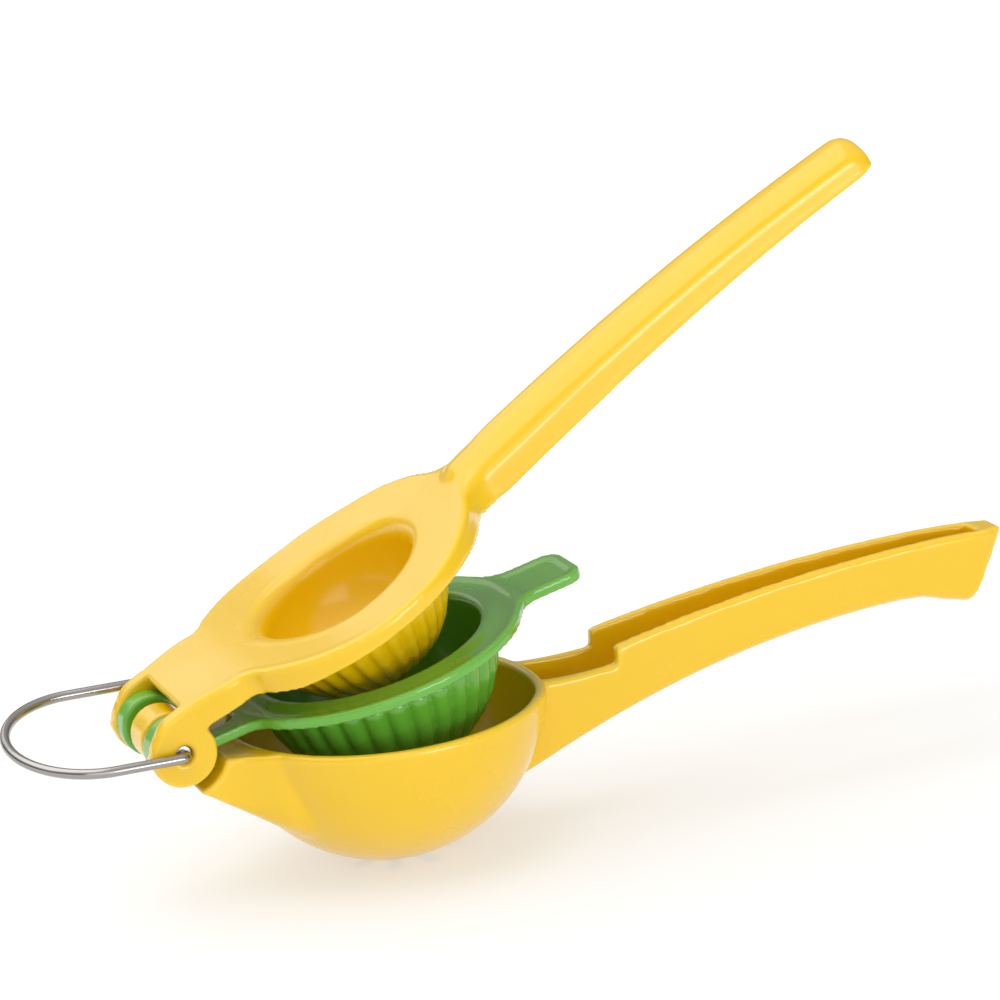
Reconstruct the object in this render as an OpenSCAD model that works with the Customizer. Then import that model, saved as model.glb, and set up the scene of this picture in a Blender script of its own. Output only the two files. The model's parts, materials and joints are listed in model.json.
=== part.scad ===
// Hinged lemon squeezer: three cast arms on one pin, with a wire hanging loop.
// Millimetres. X runs from the hinge to the handle ends, Y across, Z up.
// Every arm is modelled closed, about the hinge axis, and then turned to its rest angle.

/* [Bowl] */
// Outer diameter of the lower bowl
bowl_d = 76; // [68:0.5:90]
// Wall of the lower bowl
bowl_wall = 2.6; // [2:0.1:4]
// Depth of the bowl's rim below the hinge axis
rim_drop = 3; // [2:0.1:4]
// Height of the bowl sphere's centre above its rim
bowl_rise = 1.9; // [0.5:0.1:4]
// Distance from the hinge axis to the bowl's outer edge
neck_len = 13.6; // [13:0.1:20]

/* [Lime cup] */
// Gap between the cup's flutes and the bowl's inner wall
cup_gap = 6.3; // [5:0.1:9]
// Wall of the cup, over the flutes
cup_wall = 3.1; // [2.6:0.1:4]
// Depth of the cup sphere's centre below the top of its flange
cup_sink = 1.8; // [1:0.1:4]
// Thickness of the cup's flange
flange_t = 2.7; // [2.2:0.1:4]
// Inset of the flange from the bowl's outer edge
flange_inset = 2.2; // [1:0.1:2.6]
// Gap between the closed flange and the bowl's rim
seat_gap = 0.3; // [0.1:0.05:0.6]
// Depth of the trough in the flange
trough_depth = 0.7; // [0.3:0.05:1.2]
// Length of the thumb tab beyond the flange
tab_len = 15.2; // [10:0.2:15.4]
// Width of the thumb tab
tab_w = 18.4; // [12:0.2:20]

/* [Press] */
// Gap between the press dome's flutes and the cup's inner wall
peel_gap = 1.8; // [1.2:0.1:4]
// Wall of the press dome, over the flutes
press_wall = 5; // [3.5:0.1:7]
// Height of the dome sphere's centre above the plate's underside
dome_rise = 0.8; // [0:0.1:3]
// Thickness of the press plate
plate_t = 3.7; // [3:0.1:5]
// Radius of the press plate beyond the dome
plate_band = 11.8; // [8:0.1:13]
// Fillet round the hollow's mouth
hollow_fillet = 3.5; // [2:0.1:5]
// Height of the press neck above the hinge axis
neck_top = 7.6; // [7:0.1:9]

/* [Flutes] */
// Number of flutes round the cup and round the dome
flute_count = 32; // [20:1:40]
// Height of a flute's crest above its valley
flute_depth = 1.3; // [0.6:0.1:1.6]
// Plain band between the flange or plate and the flute tops
flute_band = 1.2; // [0.6:0.1:3]

/* [Hinge] */
// Diameter of the hinge pin
pin_d = 4; // [3:0.1:5]
// Radial running clearance of the pin
pin_fit = 0.06; // [0.02:0.01:0.1]
// Radius of the press arm's outer ears
ear_r = 7.6; // [6.5:0.1:9]
// Thickness of an outer ear
outer_ear_t = 4; // [3:0.1:6]
// Thickness of a cup ear
cup_ear_t = 5.4; // [4:0.1:7]
// Width of the lower arm's centre knuckle
knuckle_w = 9.4; // [6:0.2:12]
// Open gap between the knuckle and each cup ear
knuckle_gap = 3.1; // [1:0.1:4]
// Side clearance between the cup ears and the outer ears
ear_gap = 0.2; // [0.1:0.05:0.5]
// Radial clearance round the ears in the necks
relief_gap = 2.2; // [0.6:0.1:2.4]

/* [Handles] */
// Length of the lower handle beyond the bowl
handle_len = 120.9; // [90:0.5:150]
// Width of the lower handle at the bowl
handle_root_w = 18.6; // [15:0.2:22]
// Width of the lower handle at its end
handle_end_w = 10.6; // [9:0.2:14]
// Wall of the channel in the lower handle
handle_wall = 2.2; // [1.6:0.1:3]
// Height that the lower handle's edge rises to above the hinge axis
handle_peak = 9; // [6:0.2:9]
// Width of the press handle
grip_w = 15.4; // [12:0.2:18]
// Wall of the press handle's shell
grip_wall = 2.4; // [1.8:0.1:3.2]
// Height of the press handle's crown above the hinge axis
grip_peak = 15.7; // [14:0.2:18]

/* [Hanging loop] */
// Diameter of the wire
wire_d = 2.34; // [1.8:0.02:2.6]
// Reach of the loop from the hinge axis
loop_reach = 35.7; // [30:0.5:50]
// Side play between the loop's legs and the outer ears
loop_play = 0.23; // [0.1:0.01:0.6]
// Rise of the loop above level at rest
loop_tilt = 1.8; // [0:0.2:10]
// Lean of the loop's plane across the hinge
loop_lean = 10.8; // [8:0.2:14]

/* [Rest pose] */
// Angle of the cup above the lower arm
cup_angle = 12; // [0:0.5:30]
// Angle of the press arm above the lower arm
press_angle = 27.3; // [15:0.1:60]

/* [Hidden] */
$fn = 96;
eps = 0.01;
far = 400;
arc_steps = 4;
stations = 26;

bowl_r = bowl_d / 2;
reach = bowl_r + neck_len;
bowl_z = bowl_rise - rim_drop;
bowl_in = bowl_r - bowl_wall;

cup_top = seat_gap + flange_t - rim_drop;
flange_r = bowl_r - flange_inset;
cup_r = bowl_in - cup_gap;
cup_in = cup_r - cup_wall;
cup_z = cup_top - cup_sink;
mouth_fillet = 1.8;

press_z = cup_top;
dome_r = cup_in - peel_gap;
dome_z = press_z + dome_rise;
plate_r = dome_r + plate_band;
plate_top = press_z + plate_t;
hollow_r = dome_r - press_wall;

pin_r = pin_d / 2;
bore_r = pin_r + pin_fit;
cup_ear_r = ear_r - 0.4;
knuckle_r = ear_r - 1.1;
relief_r = ear_r + relief_gap;
cup_ear_y = knuckle_w / 2 + knuckle_gap;
outer_ear_y = cup_ear_y + cup_ear_t + ear_gap;
barrel_half = outer_ear_y + outer_ear_t;
pin_pocket = 1.8;
pin_half = barrel_half - pin_pocket;

wire_r = wire_d / 2;
loop_half = barrel_half + loop_play + wire_r;

tail_x = reach + bowl_r + handle_len;
tip_x = tail_x + 0.5;
step_x = reach + flange_r + tab_len + 4.6;
loop_end = loop_reach * cos(loop_tilt) + wire_r;
origin_x = (tail_x - loop_end) / 2;
floor_z = bowl_z - bowl_r;

// ---- curves ----

// Smooth step from 0 to 1
function ease(t) = let (c = min(1, max(0, t))) c * c * (3 - 2 * c);

// Points of a circular arc
function arc(centre, r, a0, a1) = [
    for (i = [0 : arc_steps])
        let (a = a0 + (a1 - a0) * i / arc_steps)
            centre + r * [cos(a), sin(a)]
];

// Section of a handle: a box from low to high with round corners
function section(half, low, high, r_low, r_high) = concat(
    arc([half - r_low, low + r_low], r_low, -90, 0),
    arc([half - r_high, high - r_high], r_high, 0, 90),
    arc([r_high - half, high - r_high], r_high, 90, 180),
    arc([r_low - half, low + r_low], r_low, 180, 270)
);

// Lower handle: the channel's top edge, its underside and its half width
root_x = reach + bowl_r - 4.6;
root_low = -24;
waist_x = tail_x - 29.5;
waist_low = -4.5;
tail_swell = 3.7;
function edge_z(x) =
    x < step_x ? -rim_drop - lip_proud
    : handle_peak - 8.1 * pow(max(0, tail_x - 17.5 - x) / (tail_x - 17.5 - step_x), 2)
        - 0.5 * ease((x - tail_x + 17.5) / 17.5);
function keel_z(x) =
    waist_low + (root_low - waist_low) * pow(max(0, waist_x - x) / (waist_x - root_x), 2)
        - tail_swell * pow(ease((x - waist_x) / 19), 2);
function channel_half(x) =
    (handle_root_w + (handle_end_w - handle_root_w)
        * (x - reach - bowl_r) / (tail_x - reach - bowl_r)) / 2;

// Press handle: its crown, its lower edge and its half width
grip_peak_x = tip_x - 31;
grip_low_end = 6.2;
grip_low_root = press_z - 0.8;
function crown_z(x) =
    let (full = grip_peak - 5.9 * pow((grip_peak_x - x) / (grip_peak_x - reach - plate_r), 2))
        plate_top + (full - plate_top) * ease((x - reach - plate_r + 12) / 14);
function lip_z(x) =
    max(grip_low_root, grip_low_end - 7.9
        * pow(max(0, tip_x - 19 - x) / (tip_x - 19 - reach - plate_r), 1.65));
function grip_half(x) = grip_w / 2 - 0.6 * (x - reach - plate_r) / (tip_x - reach - plate_r);

// Height of a flute at q half pitches from its crest line
flute_bow = 1.15;
function flute(q) =
    q >= 1 ? 0
    : (sqrt(flute_bow * flute_bow - q * q) - sqrt(flute_bow * flute_bow - 1))
        / (flute_bow - sqrt(flute_bow * flute_bow - 1));

// ---- shared shapes ----

// Solid through a row of sections, each at its own x
module loft(xs, rings) {
    n = len(rings[0]);
    last = (len(xs) - 1) * n;
    polyhedron(
        points = [for (j = [0 : len(xs) - 1]) for (p = rings[j]) [xs[j], p[0], p[1]]],
        faces = concat(
            [[for (i = [0 : n - 1]) i]],
            [[for (i = [n - 1 : -1 : 0]) last + i]],
            [for (j = [0 : len(xs) - 2]) for (i = [0 : n - 1])
                [j * n + i, (j + 1) * n + i, (j + 1) * n + (i + 1) % n]],
            [for (j = [0 : len(xs) - 2]) for (i = [0 : n - 1])
                [j * n + i, (j + 1) * n + (i + 1) % n, j * n + (i + 1) % n]]
        )
    );
}

// Solid dome below the plane z = top, with round-headed flutes down its outside.
// The sphere has radius r over the flute crests and its centre at z = 0.
side_steps = 6;
head_steps = 4;
body_steps = 7;
fade_start = 50;
fade_end = 84;
module fluted_dome(r, top, band) {
    n = flute_count * side_steps;
    valley = r - flute_depth;
    head = PI * r / flute_count;
    first = asin((band - top) / r);
    arch = head / r * 180 / PI;
    angles = concat(
        [asin(-top / r)],
        [for (i = [0 : head_steps]) first + arch * i / head_steps],
        [for (i = [1 : body_steps]) first + arch + (fade_end - first - arch) * i / body_steps]
    );
    points = [
        for (a = angles)
            let (v = max(0, 1 - (a - first) / arch),
                height = flute_depth * (1 - ease((a - fade_start) / (fade_end - fade_start))))
                for (i = [0 : n - 1])
                    let (u = abs(2 * (i % side_steps) / side_steps - 1),
                        rr = valley + height * flute(sqrt(u * u + v * v)),
                        t = 360 * (i - side_steps / 2) / n)
                        [rr * cos(a) * cos(t), rr * cos(a) * sin(t), -rr * sin(a)]
    ];
    rings = len(angles);
    pole = rings * n;
    polyhedron(
        points = concat(points, [[0, 0, -valley]]),
        faces = concat(
            [[for (i = [n - 1 : -1 : 0]) i]],
            [for (k = [0 : rings - 2]) for (i = [0 : n - 1])
                [k * n + i, k * n + (i + 1) % n, (k + 1) * n + (i + 1) % n]],
            [for (k = [0 : rings - 2]) for (i = [0 : n - 1])
                [k * n + i, (k + 1) * n + (i + 1) % n, (k + 1) * n + i]],
            [for (i = [0 : n - 1]) [(rings - 1) * n + i, (rings - 1) * n + (i + 1) % n, pole]]
        )
    );
}

// Spherical hollow that opens upwards at z = top through a round-edged mouth
module hollow(r, top, fillet) {
    mouth = sqrt(pow(r + fillet, 2) - pow(top - fillet, 2));
    rotate_extrude() intersection() {
        union() {
            intersection() {
                circle(r);
                translate([0, -r]) square([r, r + top]);
            }
            difference() {
                square([mouth, top + 1]);
                translate([mouth, top - fillet]) circle(fillet);
            }
        }
        translate([0, -r]) square([mouth, 2 * r + top]);
    }
}

// Drain slots through the lowest part of a hollow
slot_w = 2.4;
slot_in = 4;
slot_out = 12;
slot_count = 8;
module drain_slots(depth) {
    for (i = [0 : slot_count - 1])
        rotate([0, 0, (i + 0.5) * 360 / slot_count])
            translate([0, 0, -depth - 6]) linear_extrude(12) {
                translate([slot_in, -slot_w / 2]) square([slot_out - slot_in, slot_w]);
                translate([slot_in, 0]) circle(d = slot_w);
                translate([slot_out, 0]) circle(d = slot_w);
            }
}

// Disc across the hinge, from y0 to y1 and on the other side too
module ear_pair(r, y0, y1) {
    for (side = [-1, 1])
        translate([0, side * (y0 + y1) / 2, 0])
            rotate([90, 0, 0]) cylinder(r = r, h = y1 - y0, center = true);
}

// Cylinder along the hinge axis
module across(r, half) {
    rotate([90, 0, 0]) cylinder(r = r, h = 2 * half, center = true);
}

// Side outline in x and z, drawn out across the hinge
module side_wall(half) {
    translate([0, half, 0]) rotate([90, 0, 0]) linear_extrude(2 * half) children();
}

// ---- lower arm ----

// Bowl in section: an even wall that ends in a round lip, on a line through the centre
bowl_mid = bowl_r - bowl_wall / 2;
lip_dip = asin((bowl_rise + bowl_wall / 2) / bowl_mid);
module bowl() {
    rotate_extrude() intersection() {
        rotate(-lip_dip) {
            difference() {
                circle(bowl_r);
                circle(bowl_in);
                translate([-far / 2, 0]) square([far, far / 2]);
            }
            intersection() {
                translate([bowl_mid, 0]) circle(bowl_wall / 2);
                square([far, far / 2]);
            }
        }
        translate([0, -far / 2]) square([far, far]);
    }
}

// Everything that must stay out of the bowl: it reaches to the middle of the wall
module bowl_room() {
    rotate_extrude() intersection() {
        union() {
            circle(bowl_mid);
            square([bowl_mid * cos(lip_dip), far / 2]);
        }
        polygon([
            [0, -far / 2],
            [bowl_mid * cos(lip_dip), -far / 2],
            [bowl_mid * cos(lip_dip), far / 2],
            [0, far / 2]
        ]);
    }
}

// Neck of the lower arm: it deepens and rounds off on its way into the bowl
lower_neck_half = barrel_half - 0.4;
neck_flare = 5;
lip_proud = 0.3;
neck_slope = 36;
neck_end = reach - bowl_r / 2;
neck_deep = bowl_z - bowl_r * 0.7;
function neck_half(x) = lower_neck_half + neck_flare * ease((x - neck_len + 2.6) / 12);
function neck_low(x) = max(neck_deep, -relief_r - max(0, x - 3) * tan(neck_slope));
function neck_round(x) = 1.5 + 10 * ease((x - 6) / 24);
module lower_neck() {
    xs = [for (i = [0 : 12]) neck_end * i / 12];
    loft(xs, [for (x = xs) section(neck_half(x), neck_low(x), -rim_drop - lip_proud, neck_round(x), 0.6)]);
}

knuckle_half = knuckle_w / 2;
module knuckle_web() {
    side_wall(knuckle_half) polygon([
        [0, -knuckle_r],
        [relief_r + 2, -knuckle_r - 2],
        [relief_r + 2, -rim_drop],
        [0, knuckle_r - 6]
    ]);
}

channel_end = tail_x - 6;
module channel_outside() {
    first = [for (i = [0 : 7]) reach + bowl_r * 0.6 + (step_x - 0.4 - reach - bowl_r * 0.6) * i / 7];
    rest = [for (i = [0 : stations - 8]) step_x + (tail_x + 1 - step_x) * i / (stations - 8)];
    all = concat(first, rest);
    loft(all, [for (x = all)
        section(channel_half(x) - 1.6 * pow(ease((x - tail_x + 5) / 6), 2), keel_z(x), edge_z(x), 3, 1)]);
}

module channel_inside() {
    start = reach + bowl_r * 0.6;
    all = [for (i = [0 : stations - 6]) start + (channel_end - start) * i / (stations - 6)];
    loft(all, [for (x = all)
        section(channel_half(x) - handle_wall, keel_z(x) + handle_wall + 0.6, handle_peak + 8, 2, 1)]);
}

// The handle's end face leans back from the top edge to the keel
tail_lean = 30;
module tail_cut() {
    translate([tail_x, 0, edge_z(tail_x)]) rotate([0, tail_lean, 0])
        translate([0, -far / 2, -far / 2]) cube(far);
}

module lower_bowl_arm() {
    color("#f5c32c") difference() {
        union() {
            difference() {
                union() {
                    difference() {
                        channel_outside();
                        channel_inside();
                        tail_cut();
                    }
                    difference() {
                        lower_neck();
                        across(relief_r, far);
                    }
                    knuckle_web();
                }
                translate([reach, 0, bowl_z]) bowl_room();
            }
            translate([reach, 0, bowl_z]) bowl();
            across(knuckle_r, knuckle_half);
        }
        translate([reach, 0, bowl_z]) drain_slots(bowl_in);
        across(pin_r, barrel_half);
    }
}

// ---- lime cup ----

module cup_plan() {
    offset(r = -5) offset(delta = 5) {
        translate([reach, 0]) circle(flange_r - 0.1);
        for (side = [-1, 1])
            translate([0, side * (cup_ear_y + cup_ear_t / 2) - cup_ear_t / 2])
                square([reach - flange_r / 2, cup_ear_t]);
        offset(r = 3) offset(delta = -3)
            translate([reach, -tab_w / 2]) square([flange_r + tab_len, tab_w]);
    }
}

// Flange in section: a round lip at the mouth, a trough, and a round outer lip
mouth_r = sqrt(pow(cup_in + mouth_fillet, 2) - pow(cup_sink - mouth_fillet, 2));
trough_mid = (mouth_r + flange_r) / 2;
trough_half = (flange_r - mouth_r) / 2 - 1;
trough_r = (trough_half * trough_half + trough_depth * trough_depth) / (2 * trough_depth);
module flange() {
    rotate_extrude() difference() {
        union() {
            translate([cup_in - 2, -flange_t]) square([flange_r - 1 - cup_in + 2, flange_t]);
            translate([flange_r - flange_t / 2, -flange_t / 2]) circle(flange_t / 2);
        }
        translate([trough_mid, trough_r - trough_depth]) circle(trough_r);
    }
}

module lime_cup() {
    color("#3f8f35") rotate([0, -cup_angle, 0]) difference() {
        union() {
            translate([reach, 0, cup_top]) flange();
            intersection() {
                translate([0, 0, cup_top - flange_t]) linear_extrude(flange_t - 0.2) cup_plan();
                union() {
                    translate([reach + flange_r - 2, -far / 2, -far / 2]) cube([far, far, far]);
                    translate([-1, -far / 2, -far / 2]) cube([reach - flange_r * 0.85 + 1, far, far]);
                    difference() {
                        translate([0, -far / 2, -far / 2]) cube([far, far, far]);
                        translate([reach, 0, 0]) cylinder(r = flange_r - 1, h = far, center = true);
                    }
                }
            }
            translate([reach, 0, cup_z]) fluted_dome(cup_r, cup_sink - flange_t / 2, flange_t / 2 + flute_band);
            ear_pair(cup_ear_r, cup_ear_y, cup_ear_y + cup_ear_t);
        }
        translate([reach, 0, cup_z]) hollow(cup_in, cup_sink, mouth_fillet);
        translate([reach, 0, cup_z]) drain_slots(cup_in);
        across(bore_r, barrel_half);
        across(knuckle_r + relief_gap, cup_ear_y);
    }
}

// ---- press arm ----

press_neck_half = barrel_half + 1.6;
module press_plan() {
    offset(r = -9) offset(delta = 9) {
        translate([reach, 0]) circle(plate_r);
        polygon([
            [0, -barrel_half], [8, -barrel_half], [20, -press_neck_half], [reach, -press_neck_half],
            [reach, press_neck_half], [20, press_neck_half], [8, barrel_half], [0, barrel_half]
        ]);
        translate([reach, -grip_half(reach + plate_r)])
            square([plate_r + 16, 2 * grip_half(reach + plate_r)]);
    }
}

module press_neck() {
    intersection() {
        translate([0, 0, -far / 2]) linear_extrude(far) press_plan();
        side_wall(plate_r) polygon([
            [0, neck_top], [18, neck_top], [30, plate_top],
            [30, press_z], [18, press_z + 2], [0, press_z + 2]
        ]);
    }
}

module press_grip() {
    start = reach + plate_r - 9;
    body = [for (i = [0 : stations]) start + (tip_x - 6 - start) * i / stations];
    tip = [for (i = [1 : 4]) tip_x - 6 + 6 * sin(i * 22)];
    all = concat(body, tip);
    difference() {
        loft(all, [for (x = all)
            let (t = max(0, (x - tip_x + 6) / 6), round = sqrt(max(0.04, 1 - t * t)),
                half = grip_half(x) * (0.55 + 0.45 * round),
                low = lip_z(x), high = low + 1.5 + (crown_z(x) - low - 1.5) * round)
                section(half, low, high, min(1, (high - low) * 0.2), min(half * 0.9, (high - low) * 0.7))]);
        hollow_xs = [for (i = [0 : stations - 6])
            reach + plate_r + 5 + (tip_x - 10 - reach - plate_r - 5) * i / (stations - 6)];
        loft(hollow_xs, [for (x = hollow_xs)
            let (half = grip_half(x) - grip_wall, high = crown_z(x) - grip_wall - 0.4)
                section(half, lip_z(x) - 4, high, 0.5, half * 0.8)]);
    }
}

slot_back = 5.5;
module press_arm() {
    color("#f5c32c") rotate([0, -press_angle, 0]) difference() {
        union() {
            translate([0, 0, press_z]) linear_extrude(plate_t) intersection() {
                press_plan();
                translate([18, -far / 2]) square([reach + plate_r - 4, far]);
            }
            press_neck();
            press_grip();
            translate([reach, 0, dome_z]) fluted_dome(dome_r, plate_t / 2 - dome_rise, flute_band + 1);
            ear_pair(ear_r, outer_ear_y, barrel_half);
        }
        translate([reach, 0, dome_z]) hollow(hollow_r, plate_top - dome_z, hollow_fillet);
        translate([-far + slot_back, -outer_ear_y, -far / 2]) cube([far, 2 * outer_ear_y, far]);
        across(cup_ear_r + 0.6, outer_ear_y);
        across(bore_r, far);
    }
}

// ---- pin and loop ----

module hinge_pin() {
    color("silver") across(pin_r, pin_half);
}

loop_wide = loop_half / cos(loop_lean);
loop_rise = 2 * loop_half * tan(loop_lean);
leg_len = loop_reach - loop_wide;
bend_r = wire_r + 0.4;
module wire(len) {
    cylinder(r = wire_r, h = len);
}

// Quarter bend of the wire: it starts at the origin along Y and ends along -X
module wire_bend() {
    translate([-bend_r, 0, 0]) rotate_extrude(angle = 90) translate([bend_r, 0]) circle(wire_r);
}

// End of the wire in its ear: a stub along the hinge axis, outwards to y = loop_half - bend_r
module wire_stub() {
    translate([0, loop_half - bend_r, 0]) rotate([90, 0, 0]) wire(loop_half - bend_r - pin_half - 0.3);
}

module hanging_loop() {
    color("silver") rotate([0, loop_tilt, 0]) {
        translate([0, -loop_half, 0]) rotate([loop_lean, 0, 0]) translate([0, loop_wide, 0]) {
            for (side = [-1, 1])
                translate([-bend_r, side * loop_wide, 0]) rotate([0, -90, 0]) wire(leg_len - bend_r);
            translate([-leg_len, 0, 0]) rotate([0, 0, 90])
                rotate_extrude(angle = 180) translate([loop_wide, 0]) circle(wire_r);
        }
        mirror([0, 1, 0]) {
            wire_stub();
            translate([0, loop_half - bend_r, 0]) wire_bend();
        }
        wire_stub();
        translate([0, loop_half - bend_r, 0]) rotate([0, 90, 0]) wire_bend();
        translate([0, loop_half, bend_r]) wire(loop_rise - 2 * bend_r);
        translate([0, loop_half, loop_rise - bend_r]) rotate([90, 0, 0]) wire_bend();
    }
}

module placed() {
    translate([-origin_x, 0, -floor_z]) children();
}

placed() lower_bowl_arm();
placed() lime_cup();
placed() press_arm();
placed() hinge_pin();
placed() hanging_loop();
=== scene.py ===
# %% [markdown]
# # A hinged lemon squeezer
# Three aluminium castings turn on one pin: a bowl with a channel handle, a fluted lime cup and a
# press with a fluted dome. A bent wire hangs in the press arm's ears. The solids come from the
# frame, at their real size. This lesson gives them their cast skins, their powder coat and the wire.
# Everything is in metres, and a piece's place is in its mesh, so nothing has to be fitted later.

# %% The frame
import json
import math

import bmesh
import bpy
import numpy as np
from mathutils import Matrix, Quaternion, Vector


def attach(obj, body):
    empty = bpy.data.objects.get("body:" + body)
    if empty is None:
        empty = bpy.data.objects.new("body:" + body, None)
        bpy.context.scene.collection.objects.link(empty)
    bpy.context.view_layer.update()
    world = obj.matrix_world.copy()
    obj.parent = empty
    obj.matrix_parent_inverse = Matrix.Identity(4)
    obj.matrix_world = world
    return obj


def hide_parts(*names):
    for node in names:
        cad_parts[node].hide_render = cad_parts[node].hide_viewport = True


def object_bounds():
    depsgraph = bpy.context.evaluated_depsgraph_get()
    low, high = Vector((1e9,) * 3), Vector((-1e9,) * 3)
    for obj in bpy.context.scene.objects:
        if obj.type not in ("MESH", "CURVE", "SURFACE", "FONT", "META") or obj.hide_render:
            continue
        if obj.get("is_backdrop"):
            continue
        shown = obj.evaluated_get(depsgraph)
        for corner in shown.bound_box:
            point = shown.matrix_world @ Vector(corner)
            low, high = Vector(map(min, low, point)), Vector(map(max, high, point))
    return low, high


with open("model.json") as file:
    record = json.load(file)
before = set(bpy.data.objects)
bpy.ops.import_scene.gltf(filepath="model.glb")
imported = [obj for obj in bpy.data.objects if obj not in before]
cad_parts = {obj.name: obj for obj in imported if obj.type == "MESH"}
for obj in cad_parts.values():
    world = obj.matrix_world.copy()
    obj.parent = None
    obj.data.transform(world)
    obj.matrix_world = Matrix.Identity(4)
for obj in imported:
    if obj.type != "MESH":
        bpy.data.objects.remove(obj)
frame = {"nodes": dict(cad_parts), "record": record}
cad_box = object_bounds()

scene = bpy.context.scene
MM = 0.001
hinge = Vector(frame["record"]["behaviour"]["joints"][0]["pos_m"])
print("the frame holds", sorted(frame["nodes"]), "and the hinge is at", hinge)

# %% [markdown]
# The camera looks slightly down on the tool from its front left, through a long lens, so the two
# handles keep their true proportions. It is placed by an aim point, two angles, a distance and a
# small roll, because those can be read and changed, where a matrix can't. The shift slides the
# picture on the sensor without turning the camera, so upright lines keep their slant.

# %% The camera
aim = Vector((-2.4, -17.4, 84.1)) * MM
camera_distance = 0.939
camera_azimuth = math.radians(20.0)
camera_elevation = math.radians(15.55)
camera_roll = math.radians(-5.75)
back = Vector((
    -math.sin(camera_azimuth) * math.cos(camera_elevation),
    -math.cos(camera_azimuth) * math.cos(camera_elevation),
    math.sin(camera_elevation),
))
lens = bpy.data.cameras.new("camera")
lens.lens = 150.5
lens.sensor_width = 36
lens.shift_x = -0.0205
lens.shift_y = -0.0099
lens.clip_start = 0.05
camera = bpy.data.objects.new("camera", lens)
scene.collection.objects.link(camera)
scene.camera = camera
camera.location = aim + back * camera_distance
camera.rotation_mode = "QUATERNION"
camera.rotation_quaternion = (-back).to_track_quat("-Z", "Y") @ Quaternion((0, 0, 1), camera_roll)
print("the camera stands at", [round(x, 3) for x in camera.location])

# %% [markdown]
# Glossy things show the room more than the lamps. So the room is made first: a sky that is bright
# overhead and dim at the horizon, over a floor that is white. The dim band is what gives the
# polished wire its dark stripe and keeps the coats' colours deep. Soft boxes then draw the long
# highlights along the rims. One plain white world would be simpler, but every face would mirror
# the same white and the colours would look chalky.


# %% Lamps
def soft_box(name, place, target, width, height, power):
    """Area light at a place, turned to a target."""
    light = bpy.data.lights.new(name, "AREA")
    light.shape = "RECTANGLE"
    light.size, light.size_y, light.energy = width, height, power
    lamp = bpy.data.objects.new(name, light)
    scene.collection.objects.link(lamp)
    lamp.location = place
    lamp.rotation_mode = "QUATERNION"
    lamp.rotation_quaternion = (Vector(target) - Vector(place)).to_track_quat("-Z", "Y")


soft_box("front_box", (-0.06, -0.95, 0.30), (0, 0, 0.06), 0.8, 0.5, 1.7)
soft_box("right_box", (0.34, -0.95, 0.10), (0, 0, 0.06), 0.5, 0.3, 2.7)
soft_box("top_box", (-0.40, 0.10, 0.95), (0, 0, 0.05), 1.3, 1.2, 6.8)
soft_box("back_box", (-0.27, 0.84, 0.56), (0, 0, 0.08), 0.5, 0.5, 0.65)
scene.view_settings.view_transform = "Standard"
print("four soft boxes")

# %% [markdown]
# A material is a graph of small sums, and a graph is easier to read as an expression than as a
# list of links. A Signal wraps one output socket. Its operators add Math nodes, and they have
# their reflected forms, so `1 - mask` works. Every other node comes from one method.


# %% Sums on sockets
class Signal:
    """An output socket that can be added, subtracted and multiplied."""

    def __init__(self, graph, socket):
        self.graph, self.socket = graph, socket

    def _sum(self, operation, first, second):
        return self.graph.node("ShaderNodeMath", {"operation": operation}, {0: first, 1: second})

    def __add__(self, other):
        return self._sum("ADD", self, other)

    def __sub__(self, other):
        return self._sum("SUBTRACT", self, other)

    def __rsub__(self, other):
        return self._sum("SUBTRACT", other, self)

    def __mul__(self, other):
        return self._sum("MULTIPLY", self, other)

    __radd__ = __add__
    __rmul__ = __mul__


class Graph:
    """A node tree to which nodes are added, with a material's Principled shader as its skin."""

    def __init__(self, name, tree=None):
        if tree is None:
            self.material = bpy.data.materials.new(name)
            self.material.use_nodes = True
            tree = self.material.node_tree
            self.skin = tree.nodes["Principled BSDF"]
        self.tree = tree

    def node(self, kind, settings=(), inputs=(), output=0):
        """New node: its settings are set first, then its sockets get values or links."""
        made = self.tree.nodes.new(kind)
        for name, value in dict(settings).items():
            if name == "stops":
                ramp = made.color_ramp
                while len(ramp.elements) < len(value):
                    ramp.elements.new(1.0)
                for element, (place, colour) in zip(ramp.elements, value):
                    element.position, element.color = place, colour
            else:
                setattr(made, name, value)
        for name, value in dict(inputs).items():
            self.put(made.inputs[name], value)
        return Signal(self, made.outputs[output])

    def put(self, socket, value):
        """Links a signal to a socket, or sets the socket's own value."""
        if isinstance(value, Signal):
            self.tree.links.new(value.socket, socket)
        else:
            socket.default_value = value

    def blend(self, share, first, second):
        """Colour that goes from the first to the second with a share of 0 to 1."""
        return self.node("ShaderNodeMix", {"data_type": "RGBA"}, {0: share, 6: first, 7: second}, 2)

    def noise(self, place, scale, detail=2.0):
        return self.node("ShaderNodeTexNoise", {}, {"Vector": place, "Scale": scale, "Detail": detail})

    def ramp(self, value, low, high):
        """0 below low, 1 above high, and a soft rise between them."""
        return self.node(
            "ShaderNodeMapRange", {"interpolation_type": "SMOOTHSTEP"},
            {"Value": value, "From Min": low, "From Max": high},
        )


print("signals and graphs are ready")


# %% Sky and floor
def grey(level):
    return (level, level, level, 1)


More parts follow.
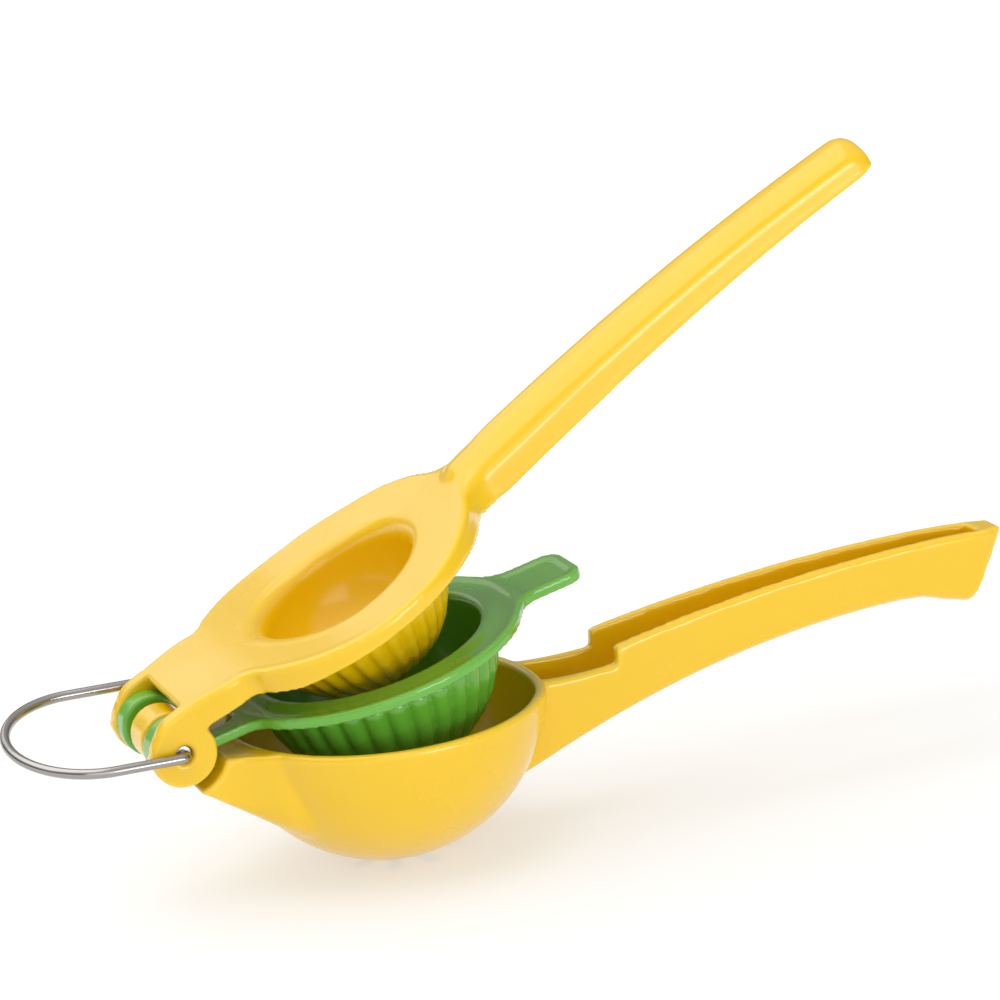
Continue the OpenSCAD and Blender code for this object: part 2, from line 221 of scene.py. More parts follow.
sky = bpy.data.worlds.new("studio_sky")
sky.use_nodes = True
scene.world = sky
air = Graph("studio_sky", sky.node_tree)
direction = air.node("ShaderNodeTexCoord", output="Generated")
height = air.node("ShaderNodeSeparateXYZ", {}, {0: direction}, "Z")
sky_stops = [(0.0, grey(0.24)), (0.3, grey(0.31)), (0.6, grey(0.6)), (1.0, grey(0.95))]
air.put(
    sky.node_tree.nodes["Background"].inputs["Color"],
    air.node("ShaderNodeValToRGB", {"stops": sky_stops}, {0: height}))

floor_mesh = bmesh.new()
bmesh.ops.create_grid(floor_mesh, x_segments=1, y_segments=1, size=6)
floor_data = bpy.data.meshes.new("floor")
floor_mesh.to_mesh(floor_data)
floor_mesh.free()
floor = bpy.data.objects.new("floor", floor_data)
scene.collection.objects.link(floor)
floor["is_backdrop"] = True
pale_floor = Graph("pale_floor")
floor_cloud = pale_floor.noise(pale_floor.node("ShaderNodeTexCoord", output="Object"), 6.0)
pale_floor.put(
    pale_floor.skin.inputs["Base Color"],
    pale_floor.blend(floor_cloud, grey(0.47), grey(0.49)))
pale_floor.put(pale_floor.skin.inputs["Roughness"], 0.8)
pale_floor.put(pale_floor.skin.inputs["Specular IOR Level"], 0.2)
# Painted light: the floor glows, with an emission that rises from 0.5 near the tool to 0.85 further
# out. It keeps the floor white where the lamps don't reach, fills the tool's shadow and lights the tool
# from below.
away = pale_floor.node(
    "ShaderNodeVectorMath", {"operation": "LENGTH"},
    {0: pale_floor.node("ShaderNodeTexCoord", output="Object")}, "Value")
pale_floor.put(
    pale_floor.skin.inputs["Emission Color"],
    pale_floor.blend(pale_floor.ramp(away, 0.15, 0.75), grey(0.50), grey(0.85)))
pale_floor.put(pale_floor.skin.inputs["Emission Strength"], 1.0)
floor.data.materials.append(pale_floor.material)
print("a sky that darkens at the horizon, over a white floor")

# %% [markdown]
# Powder coat is melted plastic dust. It levels out to a gloss, but keeps a faint ripple that
# makers call orange peel. Its colour also carries painted light: it is paler on sharp edges, a
# painted highlight, and deeper in grooves, a painted shade. Both follow a `relief` attribute that
# each casting carries: below 0 on its edges, above 0 in its grooves. The ripple is a bump and not
# geometry, because it is only a few microns high.


# %% The powder coat
def powder_coat(name, body, painted_edge_highlight, deep_tone_and_shade, gloss):
    """Glossy coat in a body colour, with a painted highlight that pales its edges and a painted shade
    that deepens its grooves.
    """
    graph = Graph(name)
    place = graph.node("ShaderNodeTexCoord", output="Object")
    relief = graph.node("ShaderNodeAttribute", {"attribute_name": "relief"}, output="Fac")
    cloud = graph.noise(place, 55.0, 3.0)
    ripple = graph.noise(place, 850.0, 2.0)
    grain = graph.noise(place, 3200.0, 1.0)
    # Painted shade: the colour deepens in grooves, where the relief is above 0. The same deep colour
    # also gives a random cloudy tone.
    groove = graph.ramp(relief + 0.1 * (cloud - 0.5), 0.02, 0.35)
    # Painted highlight: the colour pales towards the pale colour on edges, where the relief is below 0.
    edge = graph.ramp(0.12 * (cloud - 0.5) - relief, 0.05, 0.5)
    settled = graph.blend(0.16 * cloud, body, deep_tone_and_shade)
    groove_shaded = graph.blend(0.15 * groove, settled, deep_tone_and_shade)
    coat = graph.blend(0.35 * edge, groove_shaded, painted_edge_highlight)
    skin = graph.skin
    graph.put(skin.inputs["Base Color"], coat)
    graph.put(skin.inputs["Roughness"], gloss + 0.1 * graph.ramp(cloud, 0.35, 0.75) + 0.1 * groove)
    graph.put(skin.inputs["Specular IOR Level"], 0.5)
    graph.put(skin.inputs["Coat Weight"], 0.35 - 0.15 * groove)
    graph.put(skin.inputs["Coat Roughness"], 0.08)
    bump = graph.node(
        "ShaderNodeBump", {},
        {"Strength": 0.35, "Distance": 0.00003, "Height": ripple + 0.2 * grain}, "Normal",
    )
    graph.put(skin.inputs["Normal"], bump)
    return graph.material


# Each coat: a body colour, a paler colour for the painted edge highlight, a deeper colour for random
# tone and painted groove shade, and a gloss.
yellow = powder_coat(
    "yellow_coat", (0.835, 0.525, 0.002, 1), (0.95, 0.64, 0.05, 1), (0.80, 0.43, 0.0005, 1), 0.2)
green = powder_coat(
    "green_coat", (0.125, 0.41, 0.032, 1), (0.19, 0.50, 0.09, 1), (0.05, 0.26, 0.01, 1), 0.2)
print("two coats:", yellow.name, green.name)

# %% [markdown]
# The wire is drawn through a die, which leaves fine lines along it, and then polished. Lines that
# follow a bent wire can't come from plain coordinates. Each point of the wire's first ring gets
# two numbers that say where on the ring it lies, and every later ring inherits them. Noise on
# those two numbers is constant along the wire and changes round it, which is what drawn lines are.


# %% Steel
def steel(name, tint, gloss, lines):
    """Bare steel with fine drawn or turned lines."""
    graph = Graph(name)
    place = graph.node("ShaderNodeTexCoord", output="Object")
    strand = graph.node("ShaderNodeAttribute", {"attribute_name": "strand"}, output="Vector")
    streak = graph.noise(strand, lines, 3.0)
    cloud = graph.noise(place, 140.0, 3.0)
    skin = graph.skin
    dark = tuple(0.72 * c for c in tint[:3]) + (1,)
    graph.put(skin.inputs["Base Color"], graph.blend(0.5 * graph.ramp(streak, 0.45, 0.7), tint, dark))
    graph.put(skin.inputs["Metallic"], 1.0)
    graph.put(skin.inputs["Roughness"], gloss + 0.12 * streak + 0.08 * cloud)
    bump = graph.node(
        "ShaderNodeBump", {}, {"Strength": 0.25, "Distance": 0.00002, "Height": streak}, "Normal")
    graph.put(skin.inputs["Normal"], bump)
    return graph.material


loop_steel = steel("loop_steel", (0.38, 0.36, 0.345, 1), 0.1, 7.0)
pin_steel = steel("pin_steel", (0.45, 0.44, 0.43, 1), 0.2, 12.0)
print("steel for the loop and the pin")

# %% [markdown]
# A die casting has no sharp edge: metal doesn't fill one, and powder coat rounds what is left.
# Bevels on a solid that was cut and joined many times break where faces meet badly. So each
# casting is fused first: a voxel remesh lays one even skin of small squares over the whole solid.
# Then passes of smoothing round every edge and every inner corner alike, as metal and coat do.
# Plain smoothing would shrink thin walls, so each pass in is followed by a slightly longer one
# out. More passes round more: the number of passes sets the radius of the edges. The squares are
# as small on a flat face as on an edge, which a flat face doesn't need, so the skin is thinned
# last. Thinning first would leave long triangles, and smoothing pulls those out of shape.


# %% Fusing and rounding a casting
smooth_in, smooth_out = 0.5, -0.515
relief_unit = 0.1 * MM


def solid_of(node):
    """Copy of a node's solid, with its loose triangles merged."""
    mesh = frame["nodes"][node].data.copy()
    bm = bmesh.new()
    bm.from_mesh(mesh)
    bmesh.ops.remove_doubles(bm, verts=bm.verts, dist=1e-6)
    bm.to_mesh(mesh)
    bm.free()
    return mesh


def changed(mesh, kind, **settings):
    """What a modifier makes of a mesh, which is then removed."""
    blank = bpy.data.objects.new("blank", mesh)
    scene.collection.objects.link(blank)
    modifier = blank.modifiers.new("change", kind)
    for name, value in settings.items():
        setattr(modifier, name, value)
    made = bpy.data.meshes.new_from_object(blank.evaluated_get(bpy.context.evaluated_depsgraph_get()))
    bpy.data.objects.remove(blank)
    bpy.data.meshes.remove(mesh)
    return made


def fused(mesh, voxel):
    """One closed skin of even squares over all the closed shapes in a mesh."""
    return changed(mesh, "REMESH", mode="VOXEL", voxel_size=voxel)


def thinned(mesh, most):
    """The skin with fewer triangles where it is flat, and at most that many in all."""
    return changed(mesh, "DECIMATE", ratio=min(1, most / (2 * len(mesh.polygons))))


def soften(bm, passes, inside=None):
    """Rounds edges without shrinking walls, on the vertices whose place passes the test."""
    chosen = [v for v in bm.verts if inside is None or inside(v.co)]
    for _ in range(passes):
        for factor in (smooth_in, smooth_out):
            bmesh.ops.smooth_vert(
                bm, verts=chosen, factor=factor, use_axis_x=True, use_axis_y=True, use_axis_z=True)


def places_of(mesh):
    """The mesh's points as rows of x, y and z."""
    places = np.empty(len(mesh.vertices) * 3)
    mesh.vertices.foreach_get("co", places)
    return places.reshape(-1, 3)


def relief_of(mesh):
    """Stores how hollow (above 0) or edge-like (below 0) the skin is at each vertex."""
    places = places_of(mesh)
    count = len(places)
    ends = np.empty(len(mesh.edges) * 2, int)
    mesh.edges.foreach_get("vertices", ends)
    ends = ends.reshape(-1, 2)
    normals = np.empty(count * 3)
    mesh.vertex_normals.foreach_get("vector", normals)
    normals = normals.reshape(-1, 3)
    degree = np.bincount(ends.ravel(), minlength=count)

    def around(values):
        """Mean of each vertex's neighbours."""
        total = np.bincount(ends[:, 0], values[ends[:, 1]], count)
        return (total + np.bincount(ends[:, 1], values[ends[:, 0]], count)) / degree

    offset = np.stack([around(places[:, k]) for k in range(3)], 1) - places
    relief = (offset * normals).sum(1) / relief_unit
    for _ in range(4):
        relief = 0.5 * relief + 0.5 * around(relief)
    mesh.attributes.new("relief", "FLOAT", "POINT").data.foreach_set("value", relief.astype(np.float32))
    return relief


def finished(bm, name, body, slot, material, *replaced):
    """Object from a bmesh: smooth shaded, riding on its body, in the place of CAD nodes."""
    mesh = bpy.data.meshes.new(name)
    bm.to_mesh(mesh)
    bm.free()
    mesh.shade_smooth()
    mesh.materials.append(material)
    piece = bpy.data.objects.new(name, mesh)
    scene.collection.objects.link(piece)
    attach(piece, body)
    if replaced:
        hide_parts(*replaced)
    return piece


print("tools to fuse, round, thin and finish a casting")

# %% [markdown]
# The solids hold every fit, but their outer forms are plain: flat tops and even widths. On the
# castings the top of the press flows. It rises from the plate to the neck and up a ramp into the
# handle, whose crown is arched across. The tab is dished, and the channel flares towards the bowl.
# This could be a new model, but then nothing would tie it to the solid's bores and bowl. Instead
# the skin is sculpted. It is seen as columns that stand on the underside. Each column is stretched
# so that its top lands on the finished profile, and each row across is widened to the finished
# width. Places are in millimetres here, in the arm's own frame: x from the hinge, z up, closed.


# %% Profiles
reach = 51.6
plate_r, bowl_r = 36.0, 38.0


def ease(t):
    """Smooth step from 0 to 1."""
    t = np.clip(t, 0, 1)
    return t * t * (3 - 2 * t)


def share(x, start, end):
    return ease((x - start) / (end - start))


def plate_to_beam(x, plate, half, blend):
    """Half width where a round plate about x = 0 runs through a hollow arc into a beam."""
    centre = np.sqrt((plate + blend) ** 2 - (half + blend) ** 2)
    join = centre * plate / (plate + blend)
    on_plate = np.sqrt(np.maximum(0, plate**2 - x**2))
    on_arc = half + blend - np.sqrt(np.maximum(0, blend**2 - (centre - x) ** 2))
    return np.where(x <= join, on_plate, np.where(x < centre, on_arc, half))


def stretch(z, low, top, new_low, new_top):
    """Columns from low to top, stretched to their new ends; what lies outside shifts along."""
    inside = new_low + (z - low) * (new_top - new_low) / (top - low)
    return np.where(z < low, z + new_low - low, np.where(z > top, z + new_top - top, inside))


def sculpt(mesh, angle, profile):
    """Moves a mesh's points by a profile, in the frame of an arm that is raised by an angle."""
    turn = np.array(Matrix.Rotation(angle, 3, "Y"))
    own = (places_of(mesh) - np.array(hinge)) @ turn.T / MM
    moved = np.stack(profile(*own.T), 1) * MM
    mesh.vertices.foreach_set("co", (moved @ turn + np.array(hinge)).ravel())


print("bowl and plate are", reach, "mm from the hinge")

# %% [markdown]
# The press arm is described twice with the same four numbers along its length: where a column of
# metal starts, where it ends, how wide the row is and, on the finished arm, how far the crown is
# arched. The first description is the solid's, which is plain. The second one is the casting's.
# The space between them is what the sculpting adds or takes away, and it is a millimetre or so.

# %% The press arm's top
rim_x = reach + plate_r
ear_r = 7.6
neck_end, plate_start, neck_floor = 18, 30, 2
plate_top, plate_top_new = 3.7, 4.1
neck_top, neck_top_new = 7.6, 9.0
neck_half = 19.0
grip_half_w, grip_narrows, grip_low_end = 7.7, 0.6, 6.2
crown_fall = 5.9
solid_tip_x, solid_peak_x, solid_peak, solid_blend = 211.0, 180.0, 15.7, 9
grip_join, grip_free = 78.6, 101.6


def grip_low(x, tip_x, fall, run, root):
    """Lower edge of the press handle, which rises towards the tip."""
    rise = np.maximum(0, tip_x - run - x) / (tip_x - run - rim_x)
    return np.maximum(root, grip_low_end - fall * rise**1.65)


def press_solid(x, y):
    """Low end, top and half width of the press solid's columns, from neck to handle."""
    grip_half = grip_half_w - grip_narrows * (x - rim_x) / (solid_tip_x - rim_x)
    floor = grip_low(x, solid_tip_x, 7.9, 19, -0.8)
    crown = solid_peak - crown_fall * ((solid_peak_x - x) / (solid_peak_x - rim_x)) ** 2
    crown = plate_top + (crown - plate_top) * share(x, reach + 24, reach + bowl_r)
    corner = np.minimum(0.9 * grip_half, 0.7 * (crown - floor))
    drop = np.clip((y - grip_half + corner) / corner, 0, 1)
    grip = crown - corner * (1 - np.sqrt(1 - drop**2))
    neck = np.interp(x, [neck_end, plate_start], [neck_top, plate_top])
    neck = np.where(x < 0, np.sqrt(np.maximum(0, ear_r**2 - x**2)), neck)
    on_grip = (x > grip_join) & ((y <= grip_half + 0.4) | (x > grip_free))
    grip = np.where(x < grip_free, np.maximum(grip, plate_top), grip)
    top = np.where(x < reach, neck, np.where(on_grip, grip, plate_top))
    waist = np.interp(x, [8, 20], [17.4, neck_half])
    half = np.where(
        x < reach, plate_to_beam(reach - x, plate_r, waist, solid_blend),
        plate_to_beam(x - reach, plate_r, grip_half_w, solid_blend))
    low = np.interp(x, [neck_end, plate_start], [neck_floor, 0])
    return low, top, np.where(x > grip_free + 2, grip_half, half)


tip_x, tip_round, tip_drop, tip_draw = 209.6, 5.0, 3.6, 2.4
grip_start, grip_full, peak_x, crown_peak = 80.0, 102.0, 180.2, 15.65
neck_blend, grip_blend = 5, 10
nose_x, nose_r = 2, 7.4
ramp_slope, ramp_soft = math.tan(math.radians(8.5)), 4


def press_finish(x, y):
    """Low end, top, half width and arch of the finished press arm's columns."""
    tip_in = 1 - np.sqrt(1 - np.clip((x - tip_x + tip_round) / tip_round, 0, 1) ** 2)
    neck = plate_top_new + (neck_top_new - plate_top_new) * (1 - share(x, 5, reach))
    neck = neck - nose_r * (1 - np.sqrt(1 - np.clip((nose_x - x) / nose_r, 0, 0.95) ** 2))
    neck = np.where(x < 0, np.maximum(neck, np.sqrt(np.maximum(0, ear_r**2 - x**2))), neck)
    run = x - reach - plate_r * 0.44
    ramp = plate_top_new + ramp_slope * (run + np.sqrt(run**2 + ramp_soft**2)) / 2
    crown = crown_peak - crown_fall * ((peak_x - x) / (peak_x - rim_x)) ** 2
    crown = ramp + (crown - ramp) * share(x, grip_start, grip_full)
    arch = 3.7 * share(x, grip_start, grip_full) * (1.3 - 0.3 * share(x, grip_full, peak_x))
    arch = arch * (1 - 0.3 * tip_in)
    grip_half = grip_half_w - grip_narrows * np.maximum(0, x - rim_x) / (tip_x - rim_x)
    waist = neck_half - 2.0 * (1 - ease((x - 6) / 12))
    half = np.where(
        x < reach, plate_to_beam(reach - x, plate_r, waist, neck_blend),
        plate_to_beam(x - reach, plate_r, grip_half, grip_blend))
    half = half - tip_draw * tip_in
    top = np.where(x < reach, neck, crown - tip_drop * tip_in - arch * np.clip(y / half, 0, 1) ** 2)
    floor = grip_low(x, tip_x, 8.6, 18, -1.4) * share(x, 82.6, 90.6) + 0.6 * tip_in
    neck_low = np.interp(x, [neck_end, plate_start], [neck_floor, 0])
    return np.where(x < reach, neck_low, floor), top, half, arch


handle_x = 77.8


def press_profile(x, y, z):
    """Finishes the neck and the plate, and draws the handle in, where a new one covers it."""
    low, top, half = press_solid(x, abs(y))
    y_new = y * press_finish(x, 0 * y)[2] / half
    new_low, new_top = press_finish(x, abs(y_new))[:2]
    z_new = stretch(z, low, top, new_low, new_top)
    lowest = neck_floor * (1 - share(x, neck_end, plate_start))
    under_neck = (x > neck_end - 1) & (x < plate_start)
    z_new = np.where(under_neck, np.maximum(z_new, lowest), z_new)
    z_in = z - 0.7 * share(2.4 - (top - z), 0, 1.6)
    y_in = y - 0.5 * np.sign(y) * share(abs(y), 5.6, 7.3)
    x_in = x - 2.2 * share(x, 170, solid_tip_x)
    handle = x > handle_x
    return np.where(handle, x_in, x), np.where(handle, y_in, y_new), np.where(handle, z_in, z_new)


print("the press arm rises from", plate_top_new, "mm on the plate to", crown_peak, "mm at the crown")

# %% [markdown]
# The handle's crown is arched across, and no column can be stretched into a corner that the solid
# doesn't have. So the handle is a new piece: a loft through sections like slices of bread, each
# worked out from the same four numbers. The solid's own handle is drawn in until it lies inside
# the new one, and a second fusing makes one skin of both.

# %% The press handle's section
grip_wall, grip_roof, roof_fillet = 2.4, 2.8, 3.5
hollow_start, hollow_end = 92.0, 200.2
loft_start, root_end = 76.5, 108


def arc(centre, radius, start, end, steps):
    """Points of a circular arc, from a start angle to an end angle in degrees."""
    angles = np.radians(np.linspace(start, end, steps + 1))
    return [(centre[0] + radius * math.cos(a), centre[1] + radius * math.sin(a)) for a in angles]


def handle_ring(x):
    """Half of the handle's section at x: out along the arched crown, down the flank and in."""
    low, high, half, arch = (float(value) for value in press_finish(np.array(x), np.array(0.0)))
    corner = 1.4 + float(share(x, 82, 96)) * (1.7 + 2.1 * float(1 - share(x, grip_full, 132)))
    lean = math.atan(2 * arch / half)
    edge = half - corner + corner * math.sin(lean)
    centre = (half - corner, high - arch * (edge / half) ** 2 - corner * math.cos(lean))
    crown = [(edge * u, high - arch * (edge * u / half) ** 2) for u in np.linspace(0, 0.92, 9)]
    hollow = share(x, hollow_start, hollow_start + 2) * (1 - share(x, hollow_end - 2, hollow_end))
    roof = low + 0.05 + (high - grip_roof - low) * float(hollow)
    inner, fillet = half - grip_wall, min(roof_fillet, 0.8 * (roof - low))
    shoulder = arc(centre, corner, 90 - math.degrees(lean), 0, 6)
    under = arc((inner - fillet, roof - fillet), fillet, 0, 90, 5)
    return crown + shoulder + [(half, low), (inner, low)] + under


def add_handle(bm):
    """Lofts the handle into a bmesh: rings at stations along x, bridged, with a cap at each end."""
    stations = [*np.arange(loft_start, root_end, 1.0), *np.arange(root_end, tip_x - tip_round, 2.5)]
    stations += [tip_x - tip_round * (1 - math.sin(math.radians(a))) for a in range(0, 91, 10)]
    last = None
    for x in stations:
        right = handle_ring(x)
        points = right + [(-y, z) for y, z in reversed(right[1:])]
        verts = [bm.verts.new((x, y, z)) for y, z in points]
        ring = [bm.edges.new((verts[i - 1], verts[i])) for i in range(len(verts))]
        if last is None:
            bmesh.ops.edgeloop_fill(bm, edges=ring)
        else:
            bmesh.ops.bridge_loops(bm, edges=last + ring)
        last = ring
    bmesh.ops.edgeloop_fill(bm, edges=last)
    bmesh.ops.recalc_face_normals(bm, faces=bm.faces)
    open_edges = sum(not edge.is_manifold for edge in bm.edges)
    print("a handle of", len(stations), "rings,", open_edges, "open edges")


def with_handle(skin):
    """Mesh of the press's skin and the new handle, which still cross each other."""
    bm = bmesh.new()
    add_handle(bm)
    raised = Matrix.Translation(hinge) @ Matrix.Rotation(-press_angle, 4, "Y") @ Matrix.Scale(MM, 4)
    bmesh.ops.transform(bm, matrix=raised, verts=bm.verts)
    bm.from_mesh(skin)
    bm.to_mesh(skin)
    bm.free()
    return skin


print("the handle's hollow runs from", hollow_start, "to", hollow_end, "mm")

# %% [markdown]
# The lower handle is a channel with walls that run out of the bowl. A die casting has to leave its
# mould, so its walls are thick and it is widest where the metal flows in, at the bowl. Here only
# the rows across are widened: what lies between the walls by one share, and the walls by another.

# %% The lower arm's channel
channel_start, channel_len = reach + bowl_r, 120.9
channel_half, channel_half_new = (9.3, 4.0), (10.0, 4.5)
channel_wall, channel_wall_new = 2.2, 2.6
step_x = 107.2


def channel_profile(x, y, z):
    """Widens the channel towards the bowl, thickens its walls and dips its root."""
    along = (x - channel_start) / channel_len
    half = channel_half[0] - channel_half[1] * along
    new_half = channel_half_new[0] - channel_half_new[1] * along
    inner, new_inner = half - channel_wall, new_half - channel_wall_new
    across = abs(y)
    in_wall = new_inner + (across - inner) * (new_half - new_inner) / (half - inner)
    widened = np.sign(y) * np.where(across < inner, across * new_inner / inner, in_wall)
    y_new = y + (widened - y) * share(x, 82, 90)
    dip = 0.5 * np.sin(np.pi * np.clip((x - 85) / (step_x - 85), 0, 1)) * share(x, 86, 90)
    z_new = z - dip * share(z, -10, -3.3) + 0.1 * share(z, -4, 2) * share(x, step_x, step_x + 4)
    return x, y_new, z_new


print("the channel is", channel_len, "mm long")

# %% [markdown]
# The thumb tab lifts the cup out. It is dished for the thumb, inside a border of even width. The
# border comes from the tab's own outline, drawn a second time further in: a place is in the dish
# when it is inside that second outline.

# %% The cup's thumb tab
flange_r, tab_half_w = 35.2, 9.2
solid_tab, new_tab = (102.6, 3.0, 5), (103.0, 4.5, 8)
dish_start, dish_end, dish_border, dish_depth = 86.9, 100.9, 2.2, 0.65


def tab_half(x, end, corner, blend, inset=0.0):
    """Half width of the tab: it runs out of the flange and ends in round corners."""
    start = end - corner
    rounded = np.sqrt(np.maximum(0.04, 1 - np.clip((x - start) / (corner - inset), 0, 1) ** 2))
    beam = plate_to_beam(x - reach, flange_r - inset, tab_half_w - inset, blend + inset)
    return beam - (corner - inset) * (1 - rounded)


def tab_profile(x, y, z):
    """Longer tab with rounder corners, and a dish in its top inside a raised border."""
    x_new = x + 0.4 * share(x, 88, 102)
    spread = tab_half(x_new, *new_tab) / np.maximum(1, tab_half(x, *solid_tab))
    y_new = y * np.where(x > 80, 1 + (spread - 1) * share(x, 80, 84), 1)
    border = tab_half(x_new, *new_tab, dish_border) - abs(y_new)
    dished = share(border, -0.4, 0.9) * share(dish_end - x_new, -0.4, 0.9)
    dished = dished * share(x_new, dish_start, dish_start + 2)
    return x_new, y_new, z - dish_depth * dished * share(z, -2.2, -0.4)


print("the tab's dish is", dish_depth, "mm deep")

# %% [markdown]
# Some places need more than an even rounding. At the mouth of the press's hollow the plate's top
# sweeps down to a level ring, and the real casting flows over it in one wide fillet. The top of
# the plate and the heel of the lower arm flow too, where a neck runs into a round form. These
# places get many more passes, before the whole skin gets its own.

# %% The three castings
press_angle, cup_angle = math.radians(27.3), math.radians(12.0)
press_turn = Matrix.Rotation(press_angle, 3, "Y")
hollow_centre = Vector((reach, 0, 0)) * MM
mouth_in, mouth_out = 18.5 * MM, 26.5 * MM


def at_the_mouth(place):
    """Whether a place is on the ring round the press hollow's mouth."""
    own = press_turn @ (place - hinge) - hollow_centre
    return mouth_in < math.hypot(own.x, own.y) < mouth_out and own.z > 0.6 * MM


def on_the_top(place):
    """Whether a place is on the neck's top, on the plate's top or rim, or on the ramp."""
    own = press_turn @ (place - hinge) - hollow_centre
    lowest = 3.2 if own.x < -33 * MM else 0.4
    return own.z > lowest * MM and -46 * MM < own.x < 36 * MM


def at_the_heel(place):
    """Whether a place is where the lower arm's neck runs into the bowl, below its rim."""
    own = place - hinge
    return 9 * MM < own.x < 27 * MM and own.z < -1.5 * MM


edge_passes = 24
more_passes = {
    "press_arm": [(120, at_the_mouth), (60, on_the_top)],
    "lower_bowl_arm": [(120, at_the_heel)],
}
most_triangles = 195000


def cast_skin(node, voxel, angle, profile):
    """Fused, sculpted, rounded and thinned skin of a node, as a bmesh."""
    skin = fused(solid_of(node), voxel * MM)
    sculpt(skin, angle, profile)
    if node == "press_arm":
        skin = fused(with_handle(skin), voxel * MM)
    bm = bmesh.new()
    bm.from_mesh(skin)
    for passes, inside in more_passes.get(node, []):
        soften(bm, passes, inside)
    soften(bm, edge_passes)
    bm.to_mesh(skin)
    bm.clear()
    skin = thinned(skin, most_triangles)
    bm.from_mesh(skin)
    bpy.data.meshes.remove(skin)
    return bm


casting_plan = {
    "lower_bowl_arm": ("lower_arm_casting", "lower_arm", "yellow_coat", 0.55, 0.0, channel_profile),
    "lime_cup": ("lime_cup_casting", "cup", "green_coat", 0.45, cup_angle, tab_profile),
    "press_arm": ("press_arm_casting", "press", "yellow_coat", 0.5, press_angle, press_profile),
}
coats = {"yellow_coat": yellow, "green_coat": green}
for node, (name, body, slot, voxel, angle, profile) in casting_plan.items():
    skin = cast_skin(node, voxel, angle, profile)
    casting = finished(skin, name, body, slot, coats[slot], node)
    spread = np.percentile(relief_of(casting.data), [1, 50, 99]).round(2)
    print(name, len(casting.data.polygons), "faces, relief", spread)

# %% [markdown]
# The loop is one wire, so it is made as a maker bends it: one ring of points, pushed along the
# straight stretches and turned round the bends. Extrude makes the straights and spin makes the
# bends, and both copy the ring's own data, so the `strand` numbers travel with it. A curve with a
# round profile would be shorter to write, but its rings wouldn't carry the two numbers. Each step
# takes the end face with its edges: without them, the old end stays inside the wire as a wall.

# %% Wire tools
wire_r = 1.17
loop_half, loop_reach = 18.8, 35.7
loop_tilt, loop_lean = math.radians(1.8), math.radians(10.8)
bend_r = wire_r + 0.4
pin_half = 15.6


def wire_ring(radius, segments, start):
    """A bmesh with one capped circle across the Y axis, whose points know their place on it."""
    bm = bmesh.new()
    strand = bm.verts.layers.float_vector.new("strand")
    across = Matrix.Translation(start) @ Matrix.Rotation(math.radians(90), 4, "X")
    bmesh.ops.create_circle(bm, cap_ends=True, segments=segments, radius=radius, matrix=across)
    for vert in bm.verts:
        vert[strand] = (vert.co - Vector(start)) / radius
    bm.faces.ensure_lookup_table()
    return bm, bm.faces[0]


def face_in(items):
    return next(item for item in items if isinstance(item, bmesh.types.BMFace))


def push(bm, cap, step):
    """Extrudes the end of a wire along a step, and returns its new end."""
    grown = bmesh.ops.extrude_face_region(bm, geom=[cap, *cap.edges])["geom"]
    verts = [item for item in grown if isinstance(item, bmesh.types.BMVert)]
    bmesh.ops.translate(bm, verts=verts, vec=step)
    return face_in(grown)


def turn(bm, cap, centre, axis, angle, steps):
    """Turns the end of a wire round a centre, and returns its new end."""
    bent = bmesh.ops.spin(
        bm, geom=[cap, *cap.edges], cent=centre, axis=axis, angle=math.radians(angle), steps=steps,
        use_merge=False, use_duplicate=False)
    return face_in(bent["geom_last"])


def closed_wire(bm, width):
    """Breaks the edges of a wire's two ends and makes its faces point out."""
    ends = [face for face in bm.faces if len(face.verts) > 4]
    rims = [edge for face in ends for edge in face.edges]
    bmesh.ops.bevel(
        bm, geom=rims, offset=width, affect="EDGES", segments=2, profile=0.5, material=-1)
    bmesh.ops.recalc_face_normals(bm, faces=bm.faces)
    open_edges = sum(not edge.is_manifold for edge in bm.edges)
    print("a wire with", len(bm.faces), "faces and", open_edges, "open edges")


print("a wire of", 2 * wire_r, "mm")

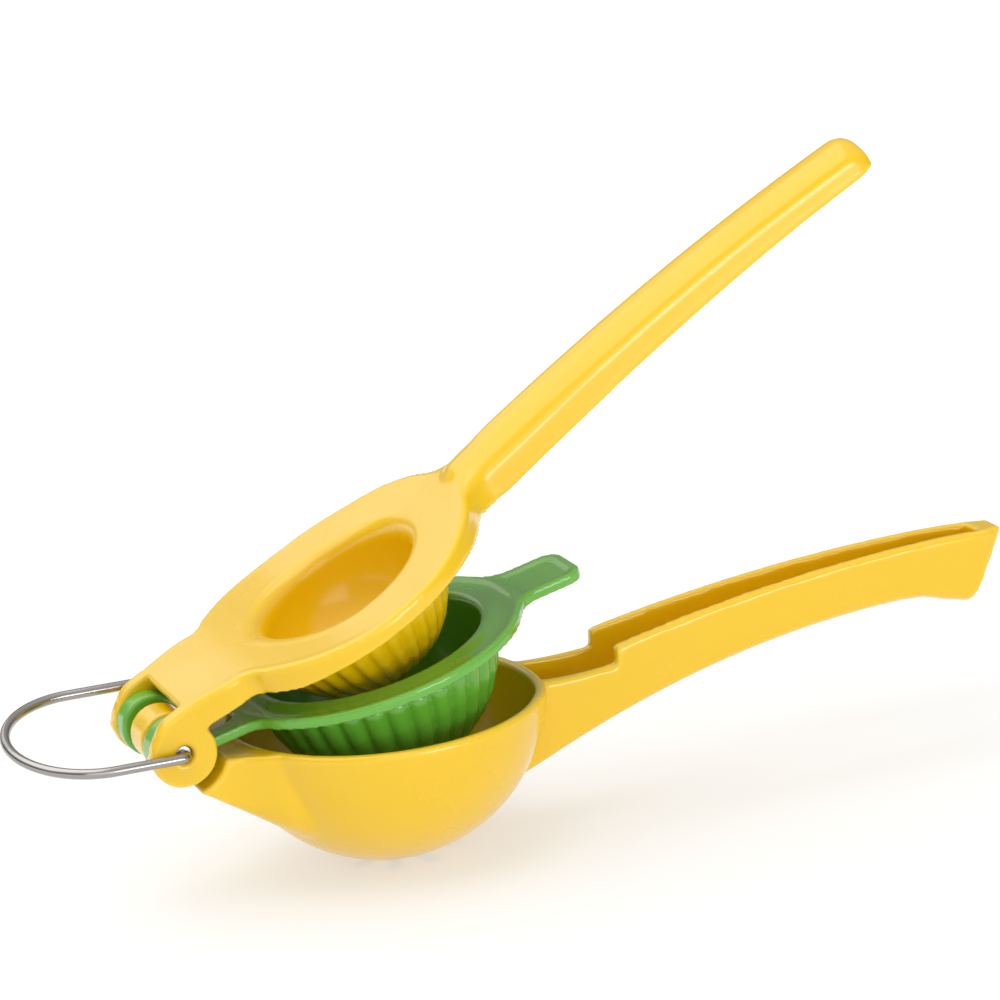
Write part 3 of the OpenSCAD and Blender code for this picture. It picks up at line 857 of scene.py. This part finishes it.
# %% [markdown]
# The two legs of the loop don't lie level: the wire leans, so one side is higher by `loop_rise`,
# and its higher end goes down again before it turns into the ear. The bow is half a turn in the
# leaning plane, and its radius is the half width along that plane.

# %% The hanging loop
leg_end = pin_half + 0.3
loop_wide = loop_half / math.cos(loop_lean)
loop_rise = 2 * loop_half * math.tan(loop_lean)
leg = loop_reach - loop_wide
stub = loop_half - bend_r
bm, cap = wire_ring(wire_r, 20, (0, -leg_end, 0))
cap = push(bm, cap, (0, leg_end - stub, 0))
cap = turn(bm, cap, (-bend_r, -stub, 0), (0, 0, -1), 90, 10)
cap = push(bm, cap, (bend_r - leg, 0, 0))
plane = (0, -math.sin(loop_lean), math.cos(loop_lean))
cap = turn(bm, cap, (-leg, 0, loop_rise / 2), plane, -180, 64)
cap = push(bm, cap, (leg - bend_r, 0, 0))
cap = turn(bm, cap, (-bend_r, loop_half, loop_rise - bend_r), (0, 1, 0), 90, 10)
cap = push(bm, cap, (0, 0, 2 * bend_r - loop_rise))
cap = turn(bm, cap, (0, stub, bend_r), (-1, 0, 0), 90, 10)
push(bm, cap, (0, leg_end - stub, 0))
closed_wire(bm, 0.2)
in_place = Matrix.Translation(hinge) @ Matrix.Rotation(loop_tilt, 4, "Y") @ Matrix.Scale(MM, 4)
bmesh.ops.transform(bm, matrix=in_place, verts=bm.verts)
finished(bm, "loop_wire", "loop", "loop_steel", loop_steel, "hanging_loop")

# %% [markdown]
# The pin is turned from bar. Its ends are broken with a small chamfer, so that it can be pressed
# into the knuckle without scraping.

# %% The hinge pin
pin_r = 2.0
bm, cap = wire_ring(pin_r, 48, (0, -pin_half, 0))
push(bm, cap, (0, 2 * pin_half, 0))
closed_wire(bm, 0.35)
bmesh.ops.transform(bm, matrix=Matrix.Translation(hinge) @ Matrix.Scale(MM, 4), verts=bm.verts)
finished(bm, "turned_pin", "lower_arm", "pin_steel", pin_steel, "hinge_pin")

# %% [markdown]
# The last cell measures the dressed tool against the solids. A skin that stands outside them would
# make the model larger than the real one.

# %% Sizes
visual_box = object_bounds()
for name, box in (("solids", cad_box), ("dressed", visual_box)):
    print(name, [[round(value / MM, 2) for value in corner] for corner in box])
